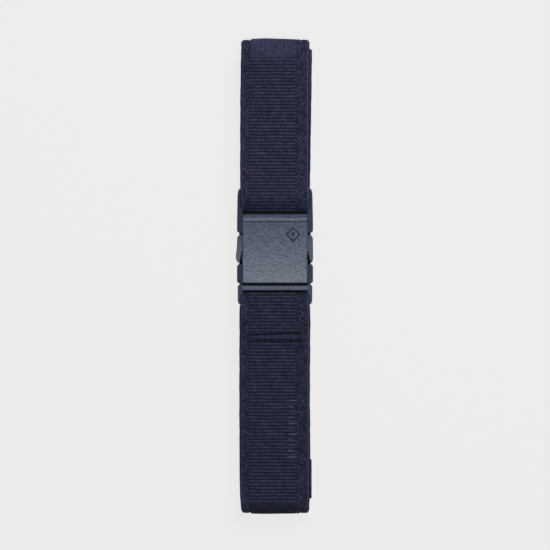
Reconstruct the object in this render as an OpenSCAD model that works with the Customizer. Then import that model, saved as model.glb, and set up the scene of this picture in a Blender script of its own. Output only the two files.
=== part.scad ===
// Elastic webbing belt with a low side-release buckle, fastened and laid flat.
// The loop lies with its length along Y. The buckle faces up, and the back of
// the loop rests on the plane z = 0. The origin is under the middle of the loop.
// The webbing is one long strip. It starts at the plug, runs down the front,
// round the bottom fold, up the back and round the top fold, down to the bar of
// the socket, then back inside the loop to the bar of the adjuster.

/* [Webbing] */
// Width of the webbing
strap_w = 38.4; // [34:0.2:38.4]
// Thickness of the webbing
strap_t = 1.8; // [1.4:0.1:1.9]
// Half the length of the flattened loop, out to the fold
loop_half = 132.9; // [128:0.1:160]
// Gap between layers that lie on each other
layer_gap = 0.1; // [0.05:0.01:0.2]

/* [Buckle] */
// Half the width of the socket
socket_half_w = 21.2; // [21:0.1:23]
// Half the width of the plug arms
plug_half_w = 20.8; // [20.5:0.1:22]
// Half the width of the flat face plate
plate_half_w = 18.2; // [17:0.1:18.4]
// Thickness of the face plate
plate_t = 1.4; // [1:0.1:2]
// Thickness of the floor of the socket
floor_t = 1.0; // [0.8:0.1:1.2]
// Radius of the bars that the webbing wraps
bar_r = 1.0; // [0.8:0.05:1.2]
// Size of the badge cut in the plate, from its middle to a corner
badge_r = 4.2; // [3:0.1:5]

/* [Adjuster] */
// Outer width of the adjuster frame
adjuster_w = 40.1; // [39.9:0.1:42]
// Length of the adjuster frame along the webbing
adjuster_l = 21.8; // [20:0.1:23]
// Middle of the adjuster along the webbing
adjuster_y = -113.8; // [-114.5:0.1:-112.5]
// Sideways place of the adjuster
adjuster_x = 0.45; // [-0.5:0.05:0.5]

/* [Hidden] */
$fn = 48;

webbing_colour = [0.15, 0.15, 0.24];
plastic_colour = [0.17, 0.20, 0.29];
plate_colour = [0.33, 0.37, 0.45];
adjuster_colour = [0.08, 0.08, 0.11];
thread_colour = [0.10, 0.10, 0.17];
print_colour = [0.22, 0.30, 0.48];

// Heights of the middle of each layer, from the ground up
half_t = strap_t / 2;
layer = strap_t + layer_gap;
back_z = half_t;
inner_back_z = back_z + layer;
buckle_z = inner_back_z + half_t + layer_gap;
floor_top_z = buckle_z + floor_t;
wrap_r = bar_r + layer_gap + half_t;
under_bar_z = floor_top_z + 0.2 + half_t;
bar_z = under_bar_z + wrap_r;
front_z = bar_z + wrap_r;
inner_front_z = front_z - layer;
plate_z = front_z + half_t + 0.5;
plate_top_z = plate_z + plate_t;

// Buckle, along Y
mouth_y = -4.3;
groove_y = 30.2;
slot_y = 34.6;
arms_end_y = 48.3;
catch_y = 6.4;
window_top_y = 23.4;
socket_bar_y = [31.7, 33.7];
plug_bar_y = [-9.9, -8.1];
neck_y = -5.05;
neck_end_y = -2.1;
neck_gap = 0.2;
plug_end_y = -16.1;

// Buckle, across and up
wall_in = 19.5;
cavity_z = plate_z - 0.4;
strip_high_z = plate_top_z - 0.4;
strip_low_z = strip_high_z - 1.4;
edge_chamfer = 1.2;
prong_z = floor_top_z + 0.4;
prong_h = cavity_z - 0.2 - prong_z;
channel_half_w = 19.4;
lip_z = front_z + half_t + 0.3;
neck_top_z = bar_z + 1.2;
crossbar_y = [-8.2, -5.65];
crossbar_edge = 0.2;
badge_at = [10, 22.9];
badge_line = 0.7;
badge_depth = 0.35;

// Adjuster
end_bar_t = 1.2;
end_bar_l = 2.8;
rail_t = 0.95;
rail_top_z = 7;
adjuster_bar_r = 0.75;
adjuster_wrap_r = adjuster_bar_r + layer_gap + half_t;
raised_z = end_bar_t + layer_gap + half_t;
loop_low_z = raised_z + layer;
adjuster_bar_z = loop_low_z + adjuster_wrap_r;
loop_hem_z = loop_low_z + layer;
adjuster_bar_y = [adjuster_y - 0.6, adjuster_y + 0.6];

// Webbing, along Y
top_fold_a = 7;
top_fold_y = loop_half - half_t - top_fold_a;
inner_fold_a = 4;
inner_fold_set_back = 5.1;
inner_fold_y = loop_half - inner_fold_set_back - half_t - inner_fold_a;
bottom_fold_a = 5;
bottom_fold_y = -loop_half + half_t + bottom_fold_a;
ramp_y = [-74, -58];
loop_end_y = adjuster_y + 15.3;
squeezed_w = strap_w - 0.4;
plug_hem_y = [-38, -25.5];
plug_hem_ramp_end_y = -14.5;
plug_wrap_end_y = -11.5;
socket_wrap_end_y = 37.5;
inner_ramp_y = [49.5, 65.5];
plug_seam_y = [-32.6, -36.3];
ticks_at = [7.4, -101.3];
fold_steps = 20;

// A point of a path is [y, z, heading in degrees]
function run(y0, y1, z) = [[y0, z, y1 > y0 ? 0 : 180], [y1, z, y1 > y0 ? 0 : 180]];

function bend(y, z, a, b, from, to) = [
    for (i = [0:fold_steps])
    let (t = from + (to - from) * i / fold_steps, way = to > from ? 1 : -1)
    [y + a * cos(t), z + b * sin(t), atan2(way * b * cos(t), -way * a * sin(t))]
];

function ramp(y0, z0, y1, z1) = [
    for (i = [0:8])
    let (u = i / 8)
    [
        y0 + (y1 - y0) * u,
        z0 + (z1 - z0) * u * u * (3 - 2 * u),
        atan2((z1 - z0) * 6 * u * (1 - u), y1 - y0)
    ]
];

function beside(p, d) = [p[0] - d * sin(p[2]), p[1] + d * cos(p[2])];

function ribbon_outline(path) = concat(
    [for (p = path) beside(p, half_t)],
    [for (i = [len(path) - 1:-1:0]) beside(path[i], -half_t)]
);

// Extrudes a (y, z) outline along X
module along_x(x0, x1) {
    rotate([90, 0, 90])
    translate([0, 0, x0])
    linear_extrude(x1 - x0)
    children();
}

// Extrudes an (x, z) outline along Y
module along_y(y0, y1) {
    translate([0, y1, 0])
    rotate([90, 0, 0])
    linear_extrude(y1 - y0)
    children();
}

module both_sides() {
    children();
    mirror([1, 0, 0]) children();
}

// Webbing that follows a path in the YZ plane
module ribbon(path, x = 0, width = strap_w) {
    color(webbing_colour)
    along_x(x - width / 2, x + width / 2)
    polygon(ribbon_outline(path));
}

// Flat webbing that drifts sideways from x0 at y0 to x1 at y1
module flat_run(y0, y1, z, x0, x1) {
    half = strap_w / 2;
    color(webbing_colour)
    translate([0, 0, z - half_t])
    linear_extrude(strap_t)
    polygon([[x0 - half, y0], [x0 + half, y0], [x1 + half, y1], [x1 - half, y1]]);
}

// Round-edged bar along X
module bar(ys, z, r, half_length, x = 0) {
    along_x(x - half_length, x + half_length) {
        translate([ys[0], z]) circle(r);
        translate([ys[1], z]) circle(r);
        translate([ys[0], z - r]) square([ys[1] - ys[0], 2 * r]);
    }
}

// ---- Socket ----

// Wall, shoulder and sloping side strip of the socket, seen along Y
module socket_wall_section() {
    polygon([
        [wall_in - 0.5, buckle_z],
        [socket_half_w - edge_chamfer, buckle_z],
        [socket_half_w, buckle_z + edge_chamfer],
        [socket_half_w, strip_low_z],
        [plate_half_w, strip_high_z],
        [plate_half_w, cavity_z],
        [wall_in, cavity_z],
        [wall_in, floor_top_z - 0.2],
        [wall_in - 0.5, floor_top_z - 0.2]
    ]);
}

// The lip that covers the webbing's edge runs out just past the slot
module socket_arm_plan() {
    polygon([
        [plate_half_w, window_top_y + 0.4],
        [wall_in + 0.1, window_top_y],
        [socket_half_w, window_top_y + 1.4],
        [socket_half_w, slot_y - 5],
        [socket_half_w - 0.3, arms_end_y - 3],
        [socket_half_w - 0.7, arms_end_y - 0.8],
        [socket_half_w - 1.2, arms_end_y],
        [wall_in, arms_end_y],
        [wall_in, slot_y + 5],
        [wall_in - 0.3, slot_y + 3.4],
        [plate_half_w, slot_y + 1.6]
    ]);
}

module socket_mouth_plan() {
    polygon([
        [plate_half_w, mouth_y],
        [socket_half_w - 0.9, mouth_y],
        [socket_half_w, mouth_y + 0.9],
        [socket_half_w, catch_y - 1.1],
        [socket_half_w - 1, catch_y],
        [plate_half_w, catch_y]
    ]);
}

module socket_base_shell() {
    window_half_w = socket_half_w - 1.2;
    color(plastic_colour)
    union() {
        translate([-wall_in, mouth_y, buckle_z])
        cube([2 * wall_in, arms_end_y - mouth_y, floor_t]);
        translate([-window_half_w, catch_y - 1, buckle_z])
        cube([2 * window_half_w, window_top_y - catch_y + 2, floor_t]);
        both_sides() {
            intersection() {
                along_y(window_top_y, arms_end_y) socket_wall_section();
                translate([0, 0, buckle_z]) linear_extrude(plate_top_z) socket_arm_plan();
            }
            intersection() {
                along_y(mouth_y, catch_y) socket_wall_section();
                translate([0, 0, buckle_z]) linear_extrude(plate_top_z) socket_mouth_plan();
            }
        }
    }
}

// Diamond outline with a small diamond in its middle
module badge() {
    difference() {
        circle(badge_r, $fn = 4);
        circle(badge_r - badge_line * sqrt(2), $fn = 4);
    }
    circle(badge_line * sqrt(2), $fn = 4);
}

module socket_face_plate() {
    color(plate_colour)
    difference() {
        along_x(-plate_half_w, plate_half_w)
        polygon([
            [mouth_y, plate_z],
            [slot_y, plate_z],
            [slot_y, plate_z + 0.3],
            [slot_y - 0.6, plate_z + 0.75],
            [slot_y - 1.9, plate_top_z - 0.25],
            [groove_y + 0.5, plate_top_z],
            [groove_y + 0.15, plate_top_z - 0.35],
            [groove_y - 0.15, plate_top_z - 0.35],
            [groove_y - 0.4, plate_top_z],
            [mouth_y + 0.3, plate_top_z],
            [mouth_y, plate_top_z - 0.3]
        ]);
        translate([badge_at[0], badge_at[1], plate_top_z - badge_depth])
        linear_extrude(1)
        badge();
    }
}

module socket_strap_bar() {
    color(plastic_colour)
    bar(socket_bar_y, bar_z, bar_r, wall_in);
}

// ---- Plug ----

// Side wall and lip of a plug arm, seen along Y
module plug_arm_section() {
    polygon([
        [channel_half_w, buckle_z + 0.2],
        [plug_half_w - 0.8, buckle_z + 0.2],
        [plug_half_w, buckle_z + 1],
        [plug_half_w, strip_low_z],
        [plate_half_w, strip_high_z],
        [plate_half_w, lip_z],
        [channel_half_w, lip_z]
    ]);
}

// The lip that covers the webbing's edge runs out just past the crossbar
module plug_arm_plan() {
    polygon([
        [channel_half_w, plug_end_y],
        [plug_half_w - 0.8, plug_end_y],
        [plug_half_w, plug_end_y + 1.8],
        [plug_half_w, neck_y - 0.9],
        [plug_half_w - 0.9, neck_y + 0.1],
        [plate_half_w, neck_y + 0.1],
        [plate_half_w, crossbar_y[0] - 0.6],
        [channel_half_w - 0.4, crossbar_y[0] - 2],
        [channel_half_w, crossbar_y[0] - 3.4]
    ]);
}

module plug_frame() {
    neck_half_w = plug_half_w - 0.95;
    neck_h = neck_top_z - floor_top_z - neck_gap;
    color(plastic_colour)
    union() {
        both_sides()
        intersection() {
            along_y(plug_end_y, neck_y + 0.1) plug_arm_section();
            translate([0, 0, buckle_z]) linear_extrude(plate_top_z) plug_arm_plan();
        }
        // Flat crossbar that covers the wrapped webbing
        along_x(-plate_half_w, plate_half_w)
        polygon([
            [crossbar_y[0], lip_z + 0.2],
            [crossbar_y[1], lip_z + 0.2],
            [crossbar_y[1], strip_high_z - crossbar_edge],
            [crossbar_y[1] - crossbar_edge, strip_high_z],
            [crossbar_y[0] + crossbar_edge, strip_high_z],
            [crossbar_y[0], strip_high_z - crossbar_edge]
        ]);
        // Neck that enters the mouth of the socket
        translate([-neck_half_w, neck_y, floor_top_z + neck_gap])
        cube([2 * neck_half_w, mouth_y - 0.1 - neck_y, neck_h]);
        translate([neck_gap - wall_in, neck_y, floor_top_z + neck_gap])
        cube([2 * (wall_in - neck_gap), neck_end_y - neck_y, neck_h]);
    }
}

module plug_strap_bar() {
    color(plastic_colour)
    bar(plug_bar_y, bar_z, bar_r, channel_half_w);
}

module plug_guide_tongue() {
    color(plastic_colour)
    translate([0, 0, bar_z - 1.6])
    linear_extrude(3.2)
    polygon([
        [-6.5, neck_end_y], [6.5, neck_end_y], [5.4, 19],
        [3.9, 21], [-3.9, 21], [-5.4, 19]
    ]);
}

// Springy arm, finger pad and barb of the right-hand side
module latch_prong() {
    color(plastic_colour)
    translate([0, 0, prong_z])
    linear_extrude(prong_h)
    polygon([
        [13.8, neck_end_y + 0.2],
        [16.2, neck_end_y + 0.2],
        [16.7, 8.5],
        [17.3, 15],
        [17.7, 15.4],
        [socket_half_w - 0.85, 7.4],
        [socket_half_w - 0.5, 6.9],
        [socket_half_w - 0.15, 7.7],
        [socket_half_w, 9.3],
        [socket_half_w, 20.9],
        [socket_half_w - 0.6, 21.9],
        [socket_half_w - 1.8, 22.8],
        [17.6, 23.4],
        [15.6, 23.7],
        [14.6, 22.5],
        [14.3, 11.5]
    ]);
}

module latch_prong_right() {
    latch_prong();
}

module latch_prong_left() {
    mirror([1, 0, 0]) latch_prong();
}

// ---- Webbing, from the plug to the adjuster ----

module strap_plug_hem() {
    ribbon(concat(
        run(plug_hem_y[0], plug_hem_y[1] - 0.01, inner_front_z),
        ramp(plug_hem_y[1], inner_front_z, plug_hem_ramp_end_y, under_bar_z)
    ));
}

module strap_plug_wrap() {
    ribbon(concat(
        run(plug_wrap_end_y, plug_bar_y[1] - 0.01, front_z),
        bend(plug_bar_y[1], bar_z, wrap_r, wrap_r, 90, -90),
        run(plug_bar_y[1] - 0.01, plug_hem_ramp_end_y, under_bar_z)
    ));
}

module strap_front_lower() {
    flat_run(bottom_fold_y, plug_wrap_end_y, front_z, 0.2, 0);
}

module strap_bottom_fold() {
    ribbon(bend(
        bottom_fold_y, (front_z + raised_z) / 2,
        bottom_fold_a, (front_z - raised_z) / 2,
        90, 270
    ));
}

module strap_back_raised() {
    ribbon(concat(
        run(bottom_fold_y, ramp_y[0] - 0.01, raised_z),
        ramp(ramp_y[0], raised_z, ramp_y[1], back_z)
    ), adjuster_x - 0.05, squeezed_w);
}

module strap_back_outer() {
    flat_run(ramp_y[1], top_fold_y, back_z, 0, 0.3);
}

module strap_top_fold_outer() {
    ribbon(bend(
        top_fold_y, (front_z + back_z) / 2,
        top_fold_a, (front_z - back_z) / 2,
        -90, 90
    ), 0.3);
}

module strap_front_upper() {
    flat_run(socket_wrap_end_y, top_fold_y, front_z, 0, 0.3);
}

module strap_socket_wrap() {
    ribbon(concat(
        run(socket_wrap_end_y, socket_bar_y[0] + 0.01, front_z),
        bend(socket_bar_y[0], bar_z, wrap_r, wrap_r, 90, 270),
        run(socket_bar_y[0] + 0.01, socket_wrap_end_y, under_bar_z)
    ));
}

module strap_inner_front() {
    ribbon(concat(
        run(socket_wrap_end_y, inner_ramp_y[0] - 0.01, under_bar_z),
        ramp(inner_ramp_y[0], under_bar_z, inner_ramp_y[1], inner_front_z),
        run(inner_ramp_y[1] + 0.01, inner_fold_y, inner_front_z)
    ), 0.2);
}

module strap_top_fold_inner() {
    ribbon(bend(
        inner_fold_y, (inner_front_z + inner_back_z) / 2,
        inner_fold_a, (inner_front_z - inner_back_z) / 2,
        90, -90
    ), 1.3);
}

module strap_inner_back_upper() {
    flat_run(ramp_y[1], inner_fold_y, inner_back_z, -0.5, 1.3);
}

module strap_inner_back_lower() {
    ribbon(concat(
        ramp(ramp_y[1], inner_back_z, ramp_y[0], loop_low_z),
        run(ramp_y[0] - 0.01, loop_end_y, loop_low_z)
    ), 0.1, squeezed_w);
}

module strap_adjuster_loop() {
    hem_end_y = adjuster_y + 19.3;
    ribbon(concat(
        run(loop_end_y, adjuster_bar_y[0] + 0.01, loop_low_z),
        bend(adjuster_bar_y[0], adjuster_bar_z, adjuster_wrap_r, adjuster_wrap_r, 270, 90),
        run(adjuster_bar_y[0] + 0.01, adjuster_bar_y[1] + 2.99, adjuster_bar_z + adjuster_wrap_r),
        ramp(adjuster_bar_y[1] + 3, adjuster_bar_z + adjuster_wrap_r, adjuster_y + 12, loop_hem_z),
        run(adjuster_y + 12.01, hem_end_y, loop_hem_z)
    ), adjuster_x, squeezed_w);
}

// ---- Adjuster ----

module adjuster_rail() {
    half = adjuster_l / 2;
    polygon([
        [adjuster_y - half, 0],
        [adjuster_y + half, 0],
        [adjuster_y + half, end_bar_t],
        [adjuster_y + 4.2, rail_top_z],
        [adjuster_y - 4.2, rail_top_z],
        [adjuster_y - half, end_bar_t]
    ]);
}

module adjuster_frame() {
    half_w = adjuster_w / 2;
    half_l = adjuster_l / 2;
    color(adjuster_colour)
    union() {
        along_x(adjuster_x - half_w, adjuster_x - half_w + rail_t) adjuster_rail();
        along_x(adjuster_x + half_w - rail_t, adjuster_x + half_w) adjuster_rail();
        for (y = [adjuster_y - half_l, adjuster_y + half_l - end_bar_l])
        translate([adjuster_x - half_w + rail_t / 2, y, 0])
        cube([adjuster_w - rail_t, end_bar_l, end_bar_t]);
    }
}

module adjuster_centre_bar() {
    color(adjuster_colour)
    bar(adjuster_bar_y, adjuster_bar_z, adjuster_bar_r, adjuster_w / 2 - rail_t, adjuster_x);
}

// ---- Thread and print ----

// Row of stitches along X that lie on the height z
module stitch_row(y, z, x0, x1, pitch, size) {
    color(thread_colour)
    for (x = [x0:pitch:x1])
    translate([x - size[0] / 2, y - size[1] / 2, z])
    cube([size[0], size[1], 0.25]);
}

module plug_seam_stitches() {
    top_z = front_z + half_t;
    stitch_row(plug_seam_y[0], top_z, -12.4, 13, 2.5, [2.0, 0.5]);
    stitch_row(plug_seam_y[1], top_z, -12.4, 16, 1.25, [0.5, 2.2]);
}

module adjuster_seam_stitches() {
    top_z = loop_hem_z + half_t;
    for (y = [adjuster_y + 14, adjuster_y + 16.5])
    stitch_row(y, top_z, -15, 15, 2.5, [2.0, 0.5]);
}

// Row of plain marks, long and short in turn
module printed_ticks() {
    pitch = 3.1;
    color(print_colour)
    for (i = [0:10])
    translate([ticks_at[0], ticks_at[1] + i * pitch, front_z + half_t])
    cube([i % 2 == 0 ? 4.8 : 2.6, 0.8, 0.1]);
}

socket_base_shell();
socket_face_plate();
socket_strap_bar();
plug_frame();
plug_strap_bar();
plug_guide_tongue();
latch_prong_left();
latch_prong_right();
strap_plug_hem();
strap_plug_wrap();
strap_front_lower();
strap_bottom_fold();
strap_back_raised();
strap_back_outer();
strap_top_fold_outer();
strap_front_upper();
strap_socket_wrap();
strap_inner_front();
strap_top_fold_inner();
strap_inner_back_upper();
strap_inner_back_lower();
strap_adjuster_loop();
adjuster_frame();
adjuster_centre_bar();
plug_seam_stitches();
adjuster_seam_stitches();
printed_ticks();
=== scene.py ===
"""Looks for the stretch webbing belt: woven strip, moulded buckle, thread, print and studio.

Lengths are in millimetres until a mesh is made, and places come from the CAD frame's boxes.
"""

import math

import bmesh
import bpy
import numpy as np
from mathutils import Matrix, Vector


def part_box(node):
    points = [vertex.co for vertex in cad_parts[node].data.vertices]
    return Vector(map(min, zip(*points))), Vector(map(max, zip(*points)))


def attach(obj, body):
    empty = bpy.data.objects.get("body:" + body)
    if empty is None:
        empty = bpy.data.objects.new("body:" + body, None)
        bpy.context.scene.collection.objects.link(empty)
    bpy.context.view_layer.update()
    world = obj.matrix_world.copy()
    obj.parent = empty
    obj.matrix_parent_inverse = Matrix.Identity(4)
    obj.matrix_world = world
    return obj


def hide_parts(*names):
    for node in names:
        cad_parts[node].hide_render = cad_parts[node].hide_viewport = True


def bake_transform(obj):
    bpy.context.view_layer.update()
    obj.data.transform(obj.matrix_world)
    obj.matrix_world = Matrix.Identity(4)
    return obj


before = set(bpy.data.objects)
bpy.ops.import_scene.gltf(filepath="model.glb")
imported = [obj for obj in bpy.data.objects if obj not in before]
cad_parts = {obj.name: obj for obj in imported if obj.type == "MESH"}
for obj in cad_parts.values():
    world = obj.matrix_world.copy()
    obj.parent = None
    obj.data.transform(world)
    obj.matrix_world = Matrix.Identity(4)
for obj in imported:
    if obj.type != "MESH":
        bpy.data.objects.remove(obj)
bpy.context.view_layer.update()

MM = 0.001


# ---- Helpers ----

def box_mm(node):
    """Lowest and highest corner of a CAD node, in mm."""
    low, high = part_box(node)
    return np.array(low) / MM, np.array(high) / MM


def smooth(low, high, value):
    """0 before low, 1 after high, and an even curve between them."""
    t = np.clip((value - low) / (high - low), 0, 1)
    return t * t * (3 - 2 * t)


def hump(middle, width, value):
    """A bell of height 1."""
    return np.exp(-(((value - middle) / width) ** 2))


def add_object(name, data):
    """Adds an object that holds this data to the scene."""
    made = bpy.data.objects.new(name, data)
    bpy.context.scene.collection.objects.link(made)
    return made


def grid_quads(rows, columns):
    """Faces of a grid of vertices that are numbered row by row."""
    number = np.arange(rows * columns).reshape(rows, columns)
    corners = (number[:-1, :-1], number[1:, :-1], number[1:, 1:], number[:-1, 1:])
    return np.stack(corners, axis=-1).reshape(-1, 4)


def grid_rim(rows, columns):
    """Vertices once round the outside of the same grid."""
    number = np.arange(rows * columns).reshape(rows, columns)
    return np.concatenate([number[0], number[1:, -1], number[-1, -2::-1], number[-2:0:-1, 0]])


def uv_pair(values):
    """One value per vertex, written into both halves of a UV place."""
    return np.repeat(np.reshape(values, (-1, 1)), 2, axis=1)


def grid_mesh(name, vertices, quads, polygons, material, layers):
    """A smooth object from vertices in mm, quads, a few larger faces and UV layers given per vertex."""
    loops = np.concatenate([quads.ravel()] + [np.array(p) for p in polygons]).astype(np.int32)
    sizes = np.concatenate([np.full(len(quads), 4), [len(p) for p in polygons]]).astype(np.int32)
    mesh = bpy.data.meshes.new(name)
    mesh.vertices.add(len(vertices))
    mesh.vertices.foreach_set("co", (np.asarray(vertices) * MM).astype(np.float32).ravel())
    mesh.loops.add(len(loops))
    mesh.loops.foreach_set("vertex_index", loops)
    mesh.polygons.add(len(sizes))
    mesh.polygons.foreach_set("loop_start", (np.cumsum(sizes) - sizes).astype(np.int32))
    mesh.update(calc_edges=True)
    mesh.validate()
    mesh.polygons.foreach_set("use_smooth", [True] * len(mesh.polygons))
    for layer, values in layers.items():
        mesh.uv_layers.new(name=layer).data.foreach_set("uv", values[loops].astype(np.float32).ravel())
    mesh.materials.append(material)
    return add_object(name, mesh)


# ---- Places, from the frame ----

front_low, front_high = box_mm("strap_front_upper")
HALF_T = (front_high[2] - front_low[2]) / 2
FRONT_Z = (front_high[2] + front_low[2]) / 2
BACK_Z = box_mm("strap_back_outer")[0][2] + HALF_T
INNER_BACK_Z = box_mm("strap_inner_back_upper")[0][2] + HALF_T
LAYER = INNER_BACK_Z - BACK_Z
INNER_FRONT_Z = FRONT_Z - LAYER

plate_low, plate_high = box_mm("socket_face_plate")
shell_low, shell_high = box_mm("socket_base_shell")
socket_bar_low, socket_bar_high = box_mm("socket_strap_bar")
plug_bar_high = box_mm("plug_strap_bar")[1]
BAR_R = (socket_bar_high[2] - socket_bar_low[2]) / 2
BAR_Z = socket_bar_low[2] + BAR_R
WRAP_R = FRONT_Z - BAR_Z
UNDER_BAR_Z = BAR_Z - WRAP_R
SOCKET_WRAP_Y = socket_bar_low[1] + BAR_R
PLUG_WRAP_Y = plug_bar_high[1] - BAR_R
PLUG_END_Y = box_mm("plug_frame")[0][1]
SLOT_Y = plate_high[1]
MOUTH_Y = plate_low[1]
ARMS_END_Y = shell_high[1]
# Far edge of the plug's crossbar, which has no box of its own
CROSSBAR_Y = PLUG_END_Y + 7.9

top_low, top_high = box_mm("strap_top_fold_outer")
inner_low, inner_high = box_mm("strap_top_fold_inner")
bottom_low, bottom_high = box_mm("strap_bottom_fold")
lower_low, lower_high = box_mm("strap_inner_back_lower")
hem_low, hem_high = box_mm("strap_plug_hem")
adjuster_bar_low, adjuster_bar_high = box_mm("adjuster_centre_bar")
raised_high = box_mm("strap_back_raised")[1]
loop_high = box_mm("strap_adjuster_loop")[1]
TOP_FOLD_Y = top_low[1]
TOP_TIP = top_high[1] - HALF_T
INNER_FOLD_Y = inner_low[1]
INNER_TIP = inner_high[1] - HALF_T
BOTTOM_FOLD_Y = bottom_high[1]
BOTTOM_EDGE_Y = bottom_low[1] + HALF_T
BOTTOM_TIP = 2 * BOTTOM_FOLD_Y - BOTTOM_EDGE_Y
RAISED_Z = raised_high[2] - HALF_T
RAMP_HIGH_Y = raised_high[1]
RAMP_LOW_Y = RAMP_HIGH_Y - 16
LOOP_LOW_Z = lower_high[2] - HALF_T
LOOP_END_Y = lower_low[1]
LOOP_HEM_Z = LOOP_LOW_Z + LAYER
ADJUSTER_BAR_Z = (adjuster_bar_low[2] + adjuster_bar_high[2]) / 2
ADJUSTER_WRAP_R = ADJUSTER_BAR_Z - LOOP_LOW_Z
ADJUSTER_WRAP_Y = adjuster_bar_low[1] + (adjuster_bar_high[2] - adjuster_bar_low[2]) / 2
LOOP_TOP_Z = ADJUSTER_BAR_Z + ADJUSTER_WRAP_R
# Where the inner back run is split between two moving pieces
SPLIT_Y = 20.0
# How far the front run lifts over the socket's arms
RISE = 0.7


# ---- Path of the webbing, in the YZ plane ----

def run(y0, y1, z):
    """A level stretch."""
    return [(y0, z), (y1, z)]


def bend(y, z, a, b, start, end):
    """Part of an ellipse about y and z with half axes a and b, between two angles in degrees."""
    turns = np.radians(np.linspace(start, end, 61))
    return [(y + a * math.cos(t), z + b * math.sin(t)) for t in turns]


def ramp(y0, z0, y1, z1):
    """A stretch that changes its height in an even curve."""
    return [(y0 + (y1 - y0) * u, z0 + (z1 - z0) * smooth(0, 1, u)) for u in np.linspace(0, 1, 25)]


def fold(y_centre, tip, low, high, start, end):
    """A bend that joins two levels and reaches out to tip."""
    return bend(y_centre, (low + high) / 2, tip - y_centre, (high - low) / 2, start, end)


# Where the strip's height or its edges change between the folds
PLUG_RAMP_Y = hem_high[1] - 11
PLUG_SLOT_Y = PLUG_END_Y + 2.5
PLUG_EXIT_Y = PLUG_END_Y - 0.1
PLUG_CLEAR_Y = PLUG_END_Y - 1.5
NARROWING_Y = BOTTOM_FOLD_Y + 4
CLIMB_Y = ARMS_END_Y + 5
CREST_Y = ARMS_END_Y - 4.5
SLOT_LIP_Y = SLOT_Y + 0.4
INNER_RAMP_LOW_Y = 49.5
INNER_RAMP_HIGH_Y = 65.5
OVER_BAR_Y = ADJUSTER_WRAP_Y + 4.2
ADJUSTER_HEM_Y = loop_high[1] - 7.3

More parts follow.
